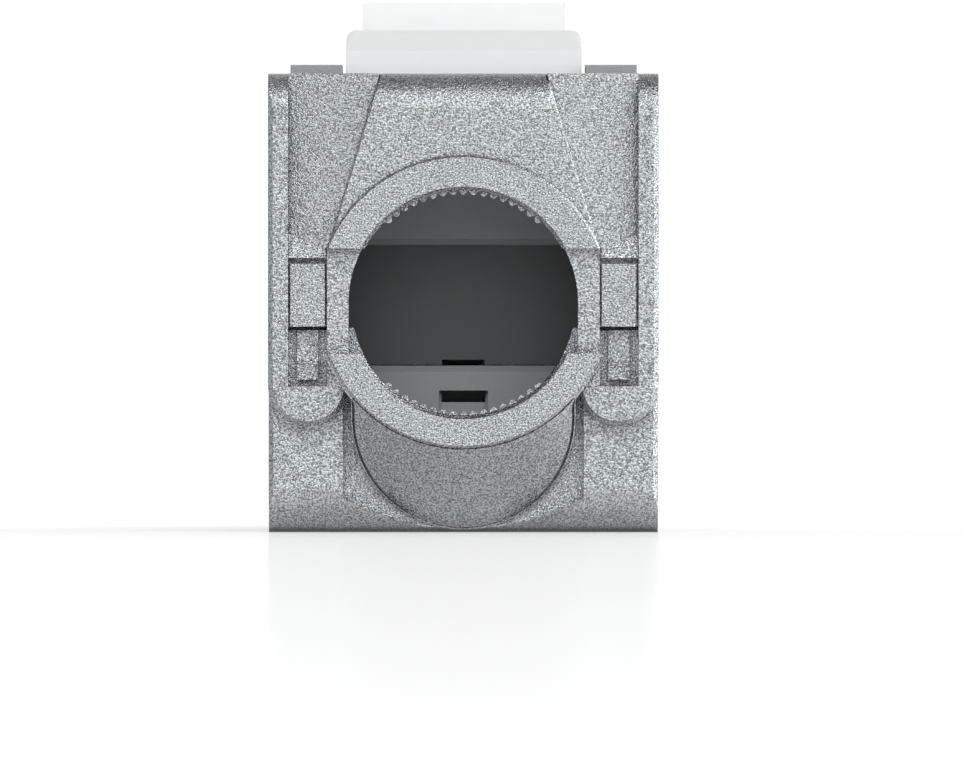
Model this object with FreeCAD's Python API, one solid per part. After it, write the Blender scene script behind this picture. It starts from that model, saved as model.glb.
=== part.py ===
"""Shielded tool-free keystone jack: cast housing, two hinged cable jaws, panel latch and wiring inside.

Millimetres. +Z is up, the cable side faces -Y and the plug socket faces +Y. The origin lies under the
middle of the jack, on the surface that it stands on.
"""
import FreeCAD
import Part
import math
import os
from FreeCAD import Vector

# Overall sizes
JAW_WIDTH = 16.54
JAW_HEIGHT = 19.45
DEPTH = 35.0
NOSE_WIDTH = 14.7
NOSE_TOP = 17.1
NOSE_FOOT = 0.9

# Clearances: running on a hinge, sliding, and seated
HINGE_CLEARANCE = 0.05
SLIDE_CLEARANCE = 0.1
SEAT_CLEARANCE = 0.03

# Jaw walls
JAW_ROOF = 0.9
JAW_SIDE = 0.8
JAW_REAR = 1.1
JAW_CORNER = 1.5
JAW_PARTING = 0.06
LOWER_JAW_INSET = 0.02
LOWER_REAR = 2.0
RIM_BEVEL = 0.2
EDGE_BEVEL = 0.09
BORE_BEVEL = 0.16

# Hinges: round bosses on the housing, holes in the ears of the jaws
HINGE_Y = 0.5
HINGE_DROP = 2.2
BOSS_RADIUS = 0.75
EAR_RADIUS = 1.15
CHEEK_FRONT = 0.8
WRAP_ANGLE = 45.0

# Cable collar, split between the jaws
CABLE_RADIUS = 4.76
COLLAR_RADIUS = 6.25
COLLAR_END = 2.3
LOWER_COLLAR_END = 2.15
COLLAR_DEPTH = 1.7
TOOTH_COUNT = 17
TOOTH_PITCH_DEG = 5.25
TOOTH_FILL = 0.94
TOOTH_TIP_FILL = 0.3
TOOTH_HEIGHT = 0.17
TOOTH_SETBACK = 0.45
TOOTH_LENGTH = 0.9

# Rear face of the upper jaw, as depths behind the collar's face
BROW_STEP = 0.3
RAIL_STEP = 0.95
PANEL_STEP_INNER = 0.85
PANEL_STEP_OUTER = 1.6
BAR_STEP = 1.2
BROW_TOP_HALF = 3.54
BROW_FOOT_HALF = 5.77
RAIL_WIDTH = 0.85
PANEL_FOOT_DROP = 0.4
PANEL_RAMP = 0.45
GROOVE_HEIGHT = 0.24
GROOVE_STEP = 1.85
SHUT_LINE = 0.09

# Lugs of the upper jaw and their latch windows, as drops below the parting plane
LUG_THICKNESS = 0.9
LUG_GAP = 0.15
LUG_FOOT_DROP = 5.2
WINDOW_TOP_DROP = 1.0
WINDOW_FOOT_DROP = 3.53
CATCH_HALF = 0.45
CATCH_FOOT_GAP = 0.28
CATCH_TOP_GAP = 0.15
CATCH_LAND = 0.48
CATCH_RAMP_HEIGHT = 0.36
CATCH_RAMP_DEPTH = 0.2
CATCH_POCKET = 0.45
CATCH_SLOT_DEPTH = 1.4

# Rear face of the lower jaw
COLUMN_INNER = 5.1
COLUMN_ROUND = 1.9
RECESS_STEP = 1.0
LIP_HEIGHT = 0.12
LIP_RADIUS = 10.3
CHIN_RADIUS = 4.75
CHIN_HEIGHT = 4.85
CHIN_DEPTH = 3.06
CHIN_TURN_DEG = 40.0
CHIN_STEP = 0.15
FLANGE = 0.45
BORE_RELIEF = 1.05

# Front housing, with its panel stop and hook
HOUSING_WALL = 0.8
FRONT_WALL = 1.3
EDGE_ROUND = 0.35
RAIL_INNER = 5.25
RAIL_RISE = 2.9
PANEL_STOP_SETBACK = 8.9
PANEL_GAP = 1.9
HOOK_LAND = 0.7
HOOK_RUN = 1.0

# Plug socket and its stepped keyway
SOCKET_HALF = 5.9
SOCKET_FOOT = 6.9
SOCKET_HEIGHT = 6.9
SOCKET_ROOF = 1.1
KEY_HALF = 3.1
KEY_STEP = 1.5
KEY_SLOT_HALF = 1.7
KEY_SLOT_STEP = 0.9

# Shield springs in the socket's side walls
SPRING_SEAT = 0.4
SPRING_SHEET = 0.2
SPRING_BOW = 0.15
SPRING_HEIGHT = 3.0
SPRING_RISE = 1.3
SPRING_LENGTH = 9.0
SPRING_SETBACK = 0.6
SPRING_TAB = 1.0

# Circuit board, contact insert and contacts
BOARD_SETBACK = 0.05
BOARD_THICKNESS = 1.2
BOARD_FOOT = 2.6
BOARD_COVER = 0.9
INSERT_WALL = 1.0
INSERT_DECK = 2.0
INSERT_SLOT = 0.5
CONTACT_COUNT = 8
CONTACT_PITCH = 1.016
CONTACT_WIRE = 0.34
CONTACT_DROP = 1.05
CONTACT_BEND_SETBACK = 4.0
CONTACT_BEND_RADIUS = 0.7
CONTACT_SLOPE_DEG = 16.0
CONTACT_TIP_GAP = 1.2
CONTACT_TAIL = 0.4

# Wire terminals and the block that carries them
BLOCK_REAR = -9.0
BLOCK_HALF_HEIGHT = 2.63
BLOCK_NOTCH_HALF = 0.91
BLOCK_NOTCH_HEIGHT = 0.21
BLOCK_NOTCH_DEPTH = 2.6
BLOCK_LIP = 0.6
FORKS_PER_ROW = 4
FORK_EDGE = 2.25
FORK_WIDTH = 1.5
FORK_SHEET = 0.35
FORK_SLOT = 0.45
FORK_SLOT_FOOT = 2.4
FORK_LEAD_IN = 0.5
FORK_REACH = 4.35
FORK_SETBACK = 3.5
FORK_STAGGER = 1.6
TAIL_WIDTH = 0.5
TAIL_RISE = 1.0
WIRE_RADIUS = 0.6
WIRE_RUN = 1.2

# Wire pressers in the jaws
PRESSER_OVERHANG = 0.6
PRESSER_LENGTH = 7.6
PRESSER_GAP = 2.67
PRESSER_SLOT_RUN = 2.3
PRESSER_SLOT_ROOM = 0.2
PRESSER_BEVEL = 0.26
PRESSER_LIP = 0.2
PRESSER_HOLE_HALF = 1.04
PRESSER_HOLE_DROP = 3.73
PRESSER_HOLE_HEIGHT = 0.92
PRESSER_HOLE_DEPTH = 0.5
PRESSER_SHAFT_INSET = 0.1
PRESSER_SHAFT_HEIGHT = 0.5
PRESSER_SHAFT_DEPTH = 3.0

# Panel latch, as heights above the nose
LATCH_HALF = 5.09
LATCH_TIP_HALF = 4.4
LATCH_THICKNESS = 1.1
LATCH_REAR_GAP = 0.65
LATCH_REAR_RISE = 3.51
LATCH_FRONT_RISE = 4.455
LATCH_SHOULDER_REAR = 0.04
LATCH_SHOULDER_FRONT = 0.42
BARB_RISE = 5.67
BARB_LAND = 0.9
LATCH_ROOT_SETBACK = 2.1
LATCH_ROOT_RISE = 0.25
LATCH_ROOT_RADIUS = 0.85
LATCH_CHANNEL = 0.15

# Length by which a cutting tool runs past what it cuts
PAST = 1.0

# Places along the depth
REAR = -DEPTH / 2
FRONT = DEPTH / 2
COLUMN_STEP = RAIL_STEP + LUG_THICKNESS + LUG_GAP
BODY_BACK = HINGE_Y + HINGE_DROP + LUG_GAP
BOARD_BACK = BODY_BACK + BOARD_SETBACK
BOARD_FRONT = BOARD_BACK + BOARD_THICKNESS
SOCKET_END = FRONT - FRONT_WALL
PANEL_STOP_Y = FRONT - PANEL_STOP_SETBACK
HOOK_Y = PANEL_STOP_Y + PANEL_GAP
SPRING_FRONT = SOCKET_END - SPRING_SETBACK
SPRING_BACK = SPRING_FRONT - SPRING_LENGTH
CONTACT_BEND_Y = SOCKET_END - CONTACT_BEND_SETBACK
LATCH_ROOT_Y = FRONT - LATCH_ROOT_SETBACK
LATCH_REAR_Y = BODY_BACK + LATCH_REAR_GAP
PRESSER_REAR = BLOCK_REAR - PRESSER_OVERHANG
PRESSER_FRONT = PRESSER_REAR + PRESSER_LENGTH
FORK_Y = BLOCK_REAR + FORK_SETBACK

# Heights
MIDDLE = JAW_HEIGHT / 2
HINGE_LOW_Z = HINGE_DROP
HINGE_TOP_Z = JAW_HEIGHT - HINGE_DROP
COLLAR_END_Z = MIDDLE + COLLAR_END
LOWER_COLLAR_END_Z = MIDDLE + LOWER_COLLAR_END
PANEL_FOOT_Z = COLLAR_END_Z - PANEL_FOOT_DROP
BAR_TOP_Z = PANEL_FOOT_Z - GROOVE_HEIGHT
WINDOW_TOP_Z = MIDDLE - WINDOW_TOP_DROP
WINDOW_FOOT_Z = MIDDLE - WINDOW_FOOT_DROP
SOCKET_TOP = SOCKET_FOOT + SOCKET_HEIGHT
DECK_TOP = NOSE_TOP - SOCKET_ROOF
BOARD_TOP = NOSE_TOP - BOARD_COVER
KEY_FOOT = SOCKET_FOOT - KEY_STEP
KEY_SLOT_FOOT = KEY_FOOT - KEY_SLOT_STEP
SPRING_FOOT = SOCKET_FOOT + SPRING_RISE
SPRING_TOP = SPRING_FOOT + SPRING_HEIGHT
CONTACT_RUN_Z = DECK_TOP - CONTACT_DROP
TAIL_Z = MIDDLE + TAIL_RISE
BLOCK_TOP = MIDDLE + BLOCK_HALF_HEIGHT
RAIL_TOP = NOSE_TOP + RAIL_RISE
LATCH_FLOOR = NOSE_TOP - LATCH_CHANNEL
LATCH_ROOT_Z = NOSE_TOP + LATCH_ROOT_RISE
LATCH_REAR_Z = NOSE_TOP + LATCH_REAR_RISE
LATCH_FRONT_Z = NOSE_TOP + LATCH_FRONT_RISE
BARB_TOP = NOSE_TOP + BARB_RISE

# Half widths
INSIDE_HALF = JAW_WIDTH / 2 - JAW_SIDE
NOTCH_HALF = CABLE_RADIUS + SLIDE_CLEARANCE
RAIL_INNER_X = JAW_WIDTH / 2 - RAIL_WIDTH
LUG_RADIUS = (JAW_WIDTH / 2 - NOTCH_HALF) / 2
LUG_X = (JAW_WIDTH / 2 + NOTCH_HALF) / 2
LUG_CENTRE_Z = MIDDLE - LUG_FOOT_DROP + LUG_RADIUS
NOSE_HALF = NOSE_WIDTH / 2
STEM_HALF = INSIDE_HALF
CHEEK_HALF = INSIDE_HALF - SLIDE_CLEARANCE
CAVITY_HALF = CHEEK_HALF - HOUSING_WALL
BOARD_HALF = CAVITY_HALF - SLIDE_CLEARANCE
FORK_PITCH = 2 * (BOARD_HALF - FORK_EDGE) / (FORKS_PER_ROW - 1)


def box(x0, x1, y0, y1, z0, z1):
    """A block between two corners."""
    return Part.makeBox(x1 - x0, y1 - y0, z1 - z0, Vector(x0, y0, z0))


def wide(half, y0, y1, z0, z1):
    """A block centred on x = 0."""
    return box(-half, half, y0, y1, z0, z1)


def both(shape):
    """A shape on the +x side and its mirror image on the -x side."""
    return shape.fuse(mirror_x(shape))


def mirror_x(shape):
    return shape.mirror(Vector(0, 0, 0), Vector(1, 0, 0))


def upside_down(shape):
    """A shape mirrored in the parting plane between the jaws."""
    return shape.mirror(Vector(0, 0, MIDDLE), Vector(0, 0, 1))


def face_of(points):
    return Part.Face(Part.makePolygon(points + points[:1]))


def side_prism(points, x0, x1):
    """A (y, z) outline swept along x."""
    return face_of([Vector(x0, y, z) for y, z in points]).extrude(Vector(x1 - x0, 0, 0))


def rear_prism(points, y0, y1):
    """An (x, z) outline swept along y."""
    return face_of([Vector(x, y0, z) for x, z in points]).extrude(Vector(0, y1 - y0, 0))


def rod_y(radius, y0, y1, x=0.0, z=MIDDLE):
    """A round bar along y."""
    return Part.makeCylinder(radius, y1 - y0, Vector(x, y0, z), Vector(0, 1, 0))


def bevelled_rod(radius, y0, y1, bevel, x=0.0, z=MIDDLE):
    """A round bar along y with a bevel at its rear rim."""
    straight = rod_y(radius, y0 + bevel, y1, x, z)
    cone = Part.makeCone(radius - bevel, radius, bevel, Vector(x, y0, z), Vector(0, 1, 0))
    return straight.fuse(cone)


def rod_x(radius, x0, x1, y, z):
    """A round bar along x."""
    return Part.makeCylinder(radius, x1 - x0, Vector(x0, y, z), Vector(1, 0, 0))


def one_solid(shape):
    """The single solid of a finished piece, with leftover seams taken out."""
    clean = shape.removeSplitter()
    if len(clean.Solids) != 1:
        raise ValueError("a piece came out as %d solids" % len(clean.Solids))
    return clean.Solids[0]


def save(name, shape):
    solid = one_solid(shape)
    solid.exportStep("parts/%s.step" % name)
    print("%-20s %8.2f mm3  valid %s" % (name, solid.Volume, solid.isValid()))
    return solid


def rear_edges(shape, y, z):
    """The straight edges along x at one (y, z)."""
    found = []
    for edge in shape.Edges:
        centre = edge.BoundBox.Center
        along_x = edge.BoundBox.YLength + edge.BoundBox.ZLength < 1e-6
        if along_x and abs(centre.y - y) < 1e-6 and abs(centre.z - z) < 1e-6:
            found.append(edge)
    return found


def rounded_block(half, y0, y1, z0, z1, radius):
    """A block centred on x = 0 whose upper rear edge is rounded."""
    block = wide(half, y0, y1, z0, z1)
    return block.makeFillet(radius, rear_edges(block, y0, z1))


def jaw_shell(half, step, thickness, corner):
    """Roof, side walls, rear wall and hinge ears of a jaw, drawn as the upper one."""
    rear = REAR + step
    foot = MIDDLE + JAW_PARTING / 2
    shell = rounded_block(half, rear, HINGE_Y, foot, JAW_HEIGHT, corner)
    shell = shell.cut(wide(INSIDE_HALF, rear + thickness, HINGE_Y + PAST, foot - PAST, JAW_HEIGHT - JAW_ROOF))
    barrel = rod_x(HINGE_DROP, -half, half, HINGE_Y, HINGE_TOP_Z)
    reach = 2 * HINGE_DROP
    lean = math.radians(WRAP_ANGLE)
    wedge = side_prism(
        [
            (HINGE_Y, HINGE_TOP_Z),
            (HINGE_Y, HINGE_TOP_Z + reach),
            (HINGE_Y + reach * math.sin(lean), HINGE_TOP_Z + reach * math.cos(lean)),
        ],
        -half,
        half,
    )
    hollow = rod_x(HINGE_DROP - JAW_ROOF, -INSIDE_HALF, INSIDE_HALF, HINGE_Y, HINGE_TOP_Z)
    wrap = barrel.common(wedge).cut(hollow)
    ear = rod_x(HINGE_DROP, INSIDE_HALF, half, HINGE_Y, HINGE_TOP_Z)
    shell = shell.fuse([wrap, both(ear)])
    return shell.cut(rod_x(BOSS_RADIUS + HINGE_CLEARANCE, -half, half, HINGE_Y, HINGE_TOP_Z))


def corner_bevels(half, rear):
    """What the bevels on a jaw's two upright rear corners take away."""
    corners = [
        (half - RIM_BEVEL, rear),
        (half + PAST, rear),
        (half + PAST, rear + RIM_BEVEL),
        (half, rear + RIM_BEVEL),
    ]
    outline = [Vector(x, y, -PAST) for x, y in corners]
    return both(face_of(outline).extrude(Vector(0, 0, JAW_HEIGHT + 2 * PAST)))


def collar_half(end_z, bevel):
    """Half of the cable collar, above the parting plane, before its bore is cut."""
    ring = bevelled_rod(COLLAR_RADIUS, REAR, REAR + COLLAR_DEPTH, bevel)
    return ring.common(wide(COLLAR_RADIUS, REAR, REAR + COLLAR_DEPTH, end_z, JAW_HEIGHT))


def cable_bore(end):
    """What the cable's round hole takes away, with a bevel at the collar's face."""
    rim = CABLE_RADIUS + BORE_BEVEL
    cone = Part.makeCone(rim, CABLE_RADIUS, BORE_BEVEL, Vector(0, REAR, MIDDLE), Vector(0, 1, 0))
    return rod_y(CABLE_RADIUS, REAR - PAST, end).fuse(cone)


def collar_teeth():
    """The row of blunt ridges that bite into the cable's jacket."""
    root = CABLE_RADIUS + SLIDE_CLEARANCE
    tip = CABLE_RADIUS - TOOTH_HEIGHT
    half_angle = math.radians(TOOTH_PITCH_DEG) * TOOTH_FILL / 2
    half_tip = math.radians(TOOTH_PITCH_DEG) * TOOTH_TIP_FILL / 2
    start = REAR + TOOTH_SETBACK
    teeth = []
    for number in range(TOOTH_COUNT):
        angle = math.radians((number - (TOOTH_COUNT - 1) / 2) * TOOTH_PITCH_DEG)
        corners = [
            (root, angle - half_angle),
            (CABLE_RADIUS, angle - half_angle),
            (tip, angle - half_tip),
            (tip, angle + half_tip),
            (CABLE_RADIUS, angle + half_angle),
            (root, angle + half_angle),
        ]
        outline = [(r * math.sin(a), MIDDLE + r * math.cos(a)) for r, a in corners]
        teeth.append(rear_prism(outline, start, start + TOOTH_LENGTH))
    return teeth


def lug():
    """One of the upper jaw's rear lugs, from the parting plane down to its round end."""
    y0 = REAR + RAIL_STEP
    y1 = REAR + RAIL_STEP + LUG_THICKNESS
    plate = box(NOTCH_HALF, JAW_WIDTH / 2, y0, y1, LUG_CENTRE_Z, COLLAR_END_Z)
    end = bevelled_rod(LUG_RADIUS, y0, y1, RIM_BEVEL, LUG_X, LUG_CENTRE_Z)
    return plate.fuse(end)


def latch_window(step0, step1):
    """The opening in a lug, between two depths behind the collar's face."""
    return box(BROW_FOOT_HALF, RAIL_INNER_X, REAR + step0, REAR + step1, WINDOW_FOOT_Z, WINDOW_TOP_Z)


def brow_half(z):
    """Half width of the brow, which widens downwards to the ends of the collar."""
    share = (JAW_HEIGHT - z) / (JAW_HEIGHT - COLLAR_END_Z)
    return BROW_TOP_HALF + (BROW_FOOT_HALF - BROW_TOP_HALF) * share


def panel_head():
    """The square corner between roof and panel, where the jaw's round corner is filled up."""
    foot = JAW_HEIGHT - JAW_CORNER
    outline = [
        (RAIL_INNER_X, JAW_HEIGHT),
        (brow_half(JAW_HEIGHT), JAW_HEIGHT),
        (brow_half(foot), foot),
        (RAIL_INNER_X, foot),
    ]
    return rear_prism(outline, REAR + RAIL_STEP, REAR + RAIL_STEP + JAW_CORNER)


def side_panel():
    """The sunk panel between a rail and the brow, with its ramp, groove and latch bar below."""
    far = REAR - PAST
    top = JAW_HEIGHT + PAST
    outline = rear_prism(
        [
            (RAIL_INNER_X, top),
            (BROW_TOP_HALF, top),
            (BROW_TOP_HALF, JAW_HEIGHT),
            (BROW_FOOT_HALF, COLLAR_END_Z),
            (BROW_FOOT_HALF, PANEL_FOOT_Z),
            (RAIL_INNER_X, PANEL_FOOT_Z),
        ],
        far,
        REAR + PANEL_STEP_OUTER,
    )
    corners = [
        (BROW_TOP_HALF, far),
        (RAIL_INNER_X, far),
        (RAIL_INNER_X, REAR + PANEL_STEP_OUTER),
        (BROW_TOP_HALF, REAR + PANEL_STEP_INNER),
    ]
    slope = face_of([Vector(x, y, 0) for x, y in corners]).extrude(Vector(0, 0, top))
    ramp = side_prism(
        [
            (far, PANEL_FOOT_Z),
            (REAR + BAR_STEP, PANEL_FOOT_Z),
            (REAR + PANEL_STEP_OUTER, PANEL_FOOT_Z + PANEL_RAMP),
            (REAR + PANEL_STEP_OUTER, top),
            (far, top),
        ],
        BROW_TOP_HALF,
        RAIL_INNER_X,
    )
    floor = REAR + GROOVE_STEP
    groove = box(BROW_FOOT_HALF, RAIL_INNER_X, far, floor, BAR_TOP_Z, PANEL_FOOT_Z)
    bar = box(BROW_FOOT_HALF, RAIL_INNER_X, far, REAR + BAR_STEP, WINDOW_TOP_Z, BAR_TOP_Z)
    shut_top = PANEL_FOOT_Z + PANEL_RAMP
    inner_line = box(BROW_FOOT_HALF, BROW_FOOT_HALF + SHUT_LINE, far, floor, WINDOW_TOP_Z, shut_top)
    outer_line = box(RAIL_INNER_X - SHUT_LINE, RAIL_INNER_X, far, floor, WINDOW_TOP_Z, shut_top)
    return outline.common(slope).common(ramp).fuse([groove, bar, inner_line, outer_line])


def brow():
    """The middle of the upper jaw's rear face, a wedge with a round top and bevelled sides."""
    back = REAR + RAIL_STEP + JAW_REAR
    outline = [
        (-BROW_TOP_HALF, JAW_HEIGHT),
        (BROW_TOP_HALF, JAW_HEIGHT),
        (BROW_FOOT_HALF, COLLAR_END_Z),
        (-BROW_FOOT_HALF, COLLAR_END_Z),
    ]
    face_y = REAR + BROW_STEP
    block = rounded_block(JAW_WIDTH / 2, face_y, back + JAW_CORNER, COLLAR_END_Z, JAW_HEIGHT, JAW_CORNER)
    wedge = block.common(rear_prism(outline, REAR, back))
    rims = []
    for edge in wedge.Edges:
        reach = edge.BoundBox
        rises = reach.ZLength > BROW_STEP
        at_rear = reach.YMin < back - SEAT_CLEARANCE
        if rises and at_rear:
            rims.append(edge)
    return wedge.makeChamfer(EDGE_BEVEL, rims)


def upper_jaw():
    jaw = jaw_shell(JAW_WIDTH / 2, RAIL_STEP, JAW_REAR, JAW_CORNER)
    jaw = jaw.fuse([both(panel_head()), both(lug())])
    jaw = jaw.cut([both(side_panel()), corner_bevels(JAW_WIDTH / 2, REAR + RAIL_STEP)])
    jaw = jaw.fuse([brow(), collar_half(COLLAR_END_Z, EDGE_BEVEL)])
    bore_end = REAR + RAIL_STEP + JAW_REAR + PAST
    side_bore = rod_y(NOTCH_HALF, REAR - PAST, bore_end)
    side_bore = side_bore.common(wide(NOTCH_HALF, REAR - PAST, bore_end, 0, COLLAR_END_Z))
    jaw = jaw.cut([cable_bore(bore_end), side_bore, both(latch_window(0, COLUMN_STEP))])
    return jaw.fuse(collar_teeth())


def chin():
    """The sloping throat under the lower half of the collar, drawn upside down like its jaw."""
    ring_y = REAR + CHIN_STEP
    base_y = REAR + CHIN_DEPTH
    base_z = JAW_HEIGHT - CHIN_HEIGHT
    end_angle = math.asin(LOWER_COLLAR_END / COLLAR_RADIUS)
    turn_angle = math.radians(CHIN_TURN_DEG)

    def on_ring(angle):
        return Vector(COLLAR_RADIUS * math.cos(angle), ring_y, MIDDLE + COLLAR_RADIUS * math.sin(angle))

    def ring_arc(start, end):
        return Part.Arc(on_ring(start), on_ring((start + end) / 2), on_ring(end)).toShape()

    ring = [
        ring_arc(end_angle, turn_angle),
        ring_arc(turn_angle, math.pi - turn_angle),
        ring_arc(math.pi - turn_angle, math.pi - end_angle),
        Part.makeLine(on_ring(math.pi - end_angle), on_ring(end_angle)),
    ]
    right_foot = Vector(CHIN_RADIUS, base_y, LOWER_COLLAR_END_Z)
    right_top = Vector(CHIN_RADIUS, base_y, base_z)
    left_top = Vector(-CHIN_RADIUS, base_y, base_z)
    left_foot = Vector(-CHIN_RADIUS, base_y, LOWER_COLLAR_END_Z)
    base = [
        Part.makeLine(right_foot, right_top),
        Part.Arc(right_top, Vector(0, base_y, base_z + CHIN_RADIUS), left_top).toShape(),
        Part.makeLine(left_top, left_foot),
        Part.makeLine(left_foot, right_foot),
    ]
    return Part.makeLoft([Part.Wire(ring), Part.Wire(base)], True, True)


def catch_nose():
    """A stepped nose on the lower jaw, in the jaw's real place, that a lug's window snaps over."""
    floor = REAR + COLUMN_STEP + CATCH_POCKET
    crest = REAR + COLUMN_STEP - LUG_GAP / 2
    centre = (BROW_FOOT_HALF + RAIL_INNER_X) / 2
    foot = WINDOW_FOOT_Z + CATCH_FOOT_GAP
    top = WINDOW_TOP_Z - CATCH_TOP_GAP
    outline = [
        (floor + SLIDE_CLEARANCE, foot),
        (crest, foot),
        (crest, foot + CATCH_LAND),
        (crest + CATCH_RAMP_DEPTH, foot + CATCH_LAND + CATCH_RAMP_HEIGHT),
        (crest + CATCH_RAMP_DEPTH, top),
        (floor + SLIDE_CLEARANCE, top),
    ]
    return side_prism(outline, centre - CATCH_HALF, centre + CATCH_HALF)


def lower_jaw():
    half = JAW_WIDTH / 2 - LOWER_JAW_INSET
    back = REAR + COLUMN_STEP + LOWER_REAR
    jaw = jaw_shell(half, COLUMN_STEP, LOWER_REAR, COLUMN_ROUND)
    recess_floor = REAR + COLUMN_STEP + RECESS_STEP
    lip_z = JAW_HEIGHT - LIP_HEIGHT
    front_lip = rod_y(LIP_RADIUS, REAR, recess_floor, 0, lip_z - LIP_RADIUS)
    recess = wide(COLUMN_INNER, REAR, recess_floor, MIDDLE, JAW_HEIGHT).common(front_lip)
    jaw = jaw.cut([recess, corner_bevels(half, REAR + COLUMN_STEP)])
    jaw = jaw.fuse([chin(), collar_half(LOWER_COLLAR_END_Z, RIM_BEVEL)])
    lug_room = box(
        NOTCH_HALF - SLIDE_CLEARANCE,
        JAW_WIDTH,
        REAR + FLANGE,
        REAR + COLUMN_STEP,
        MIDDLE,
        JAW_HEIGHT - LUG_CENTRE_Z,
    )
    lug_room = lug_room.fuse(
        rod_y(
            LUG_RADIUS + SLIDE_CLEARANCE,
            REAR + FLANGE,
            REAR + COLUMN_STEP,
            LUG_X,
            JAW_HEIGHT - LUG_CENTRE_Z,
        )
    )
    relief = wide(NOTCH_HALF, REAR - PAST, back + PAST, MIDDLE - PAST, MIDDLE + BORE_RELIEF)
    jaw = jaw.cut([both(lug_room), cable_bore(back + PAST), relief])
    jaw = upside_down(jaw.fuse(collar_teeth()))
    jaw = jaw.cut(both(latch_window(COLUMN_STEP, COLUMN_STEP + CATCH_POCKET)))
    slot_back = REAR + COLUMN_STEP + CATCH_SLOT_DEPTH
    slot_foot = WINDOW_TOP_Z - CATCH_TOP_GAP
    slot = box(BROW_FOOT_HALF, RAIL_INNER_X, REAR + COLUMN_STEP, slot_back, slot_foot, WINDOW_TOP_Z)
    return jaw.cut(both(slot)).fuse(both(catch_nose()))


def hinge_arms():
    """Side cheeks of the housing, with a round ear and a boss at each jaw's hinge."""
    back = HINGE_Y - EAR_RADIUS
    cheek = box(CAVITY_HALF, CHEEK_HALF, back, HINGE_Y + CHEEK_FRONT, HINGE_LOW_Z, HINGE_TOP_Z)
    clear = HINGE_DROP * math.sin(math.radians(WRAP_ANGLE))
    web = box(CAVITY_HALF, CHEEK_HALF, back, BODY_BACK + PAST, HINGE_LOW_Z + clear, HINGE_TOP_Z - clear)
    pieces = [web]
    boss_end = JAW_WIDTH / 2 - LOWER_JAW_INSET - HINGE_CLEARANCE
    for z in (HINGE_LOW_Z, HINGE_TOP_Z):
        pieces.append(rod_x(EAR_RADIUS, CAVITY_HALF, CHEEK_HALF, HINGE_Y, z))
        pieces.append(rod_x(BOSS_RADIUS, CAVITY_HALF, boss_end, HINGE_Y, z))
    return both(cheek.fuse(pieces))


def spring_slot():
    """The shallow seat of a shield spring in the socket's side wall."""
    depth = SOCKET_HALF + SPRING_SEAT
    return box(SOCKET_HALF - PAST, depth, SPRING_BACK, SPRING_FRONT, SPRING_FOOT, SPRING_TOP)


def socket_hollow():
    """Everything that is cut from the housing for the plug, its key and the contact insert."""
    hollow = wide(SOCKET_HALF, BOARD_FRONT - PAST, SOCKET_END, SOCKET_FOOT, DECK_TOP)
    key_back = BOARD_FRONT + INSERT_WALL
    mouth = wide(SOCKET_HALF, key_back, FRONT + PAST, SOCKET_FOOT, SOCKET_TOP)
    key = wide(KEY_HALF, key_back, FRONT + PAST, KEY_FOOT, SOCKET_TOP)
    key_slot = wide(KEY_SLOT_HALF, key_back, FRONT + PAST, KEY_SLOT_FOOT, SOCKET_TOP)
    return hollow.fuse([mouth, key, key_slot, both(spring_slot())])


def front_housing():
    nose = wide(NOSE_HALF, PANEL_STOP_Y, FRONT, NOSE_FOOT, NOSE_TOP)
    front_edges = [edge for edge in nose.Edges if edge.BoundBox.YMin > FRONT - PAST]
    nose = nose.makeFillet(EDGE_ROUND, front_edges)
    stem = wide(STEM_HALF, BODY_BACK, PANEL_STOP_Y, 0, RAIL_TOP)
    hook_profile = [
        (HOOK_Y, NOSE_FOOT),
        (HOOK_Y, 0),
        (HOOK_Y + HOOK_LAND, 0),
        (HOOK_Y + HOOK_LAND + HOOK_RUN, NOSE_FOOT),
    ]
    hook = side_prism(hook_profile, -RAIL_INNER, RAIL_INNER)
    body = stem.fuse([nose, hook, hinge_arms()])
    board_room = wide(
        CAVITY_HALF, BODY_BACK - PAST, BOARD_FRONT, BOARD_FOOT - SLIDE_CLEARANCE, BOARD_TOP + SLIDE_CLEARANCE
    )
    channel = wide(RAIL_INNER, BODY_BACK - PAST, LATCH_ROOT_Y, LATCH_FLOOR, RAIL_TOP + PAST)
    root_half = LATCH_TIP_HALF + SLIDE_CLEARANCE
    root = rod_x(LATCH_ROOT_RADIUS + HINGE_CLEARANCE, -root_half, root_half, LATCH_ROOT_Y, LATCH_ROOT_Z)
    return body.cut([board_room, socket_hollow(), channel, root])


def shield_spring():
    """A bowed strip on the +x side that presses on the shield of the plug."""
    flat = SOCKET_HALF + SPRING_SEAT
    crest = SOCKET_HALF - SPRING_BOW
    back = SPRING_BACK + SEAT_CLEARANCE
    front = SPRING_FRONT - SEAT_CLEARANCE
    middle = (back + front) / 2

    def line_at(inset):
        points = [
            (flat, back),
            (flat, back + SPRING_TAB),
            (crest, middle),
            (flat, front - SPRING_TAB),
            (flat, front),
        ]
        return [Vector(x - inset, y, SPRING_FOOT + SEAT_CLEARANCE) for x, y in points]

    outline = line_at(0) + line_at(SPRING_SHEET)[::-1]
    return face_of(outline).extrude(Vector(0, 0, SPRING_HEIGHT - 2 * SEAT_CLEARANCE))


def latch_under(y):
    """Height of the underside of the latch, a straight line from its root to its rear end."""
    root_y = LATCH_ROOT_Y - LATCH_ROOT_RADIUS
    rear_z = LATCH_REAR_Z - LATCH_THICKNESS
    return LATCH_ROOT_Z + (rear_z - LATCH_ROOT_Z) * (root_y - y) / (root_y - LATCH_REAR_Y)


def latch_over(y):
    """Height of the sloping top of the latch's thumb tab."""
    share = (y - LATCH_REAR_Y) / (PANEL_STOP_Y - LATCH_REAR_Y)
    return LATCH_REAR_Z + (LATCH_FRONT_Z - LATCH_REAR_Z) * share


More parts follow.
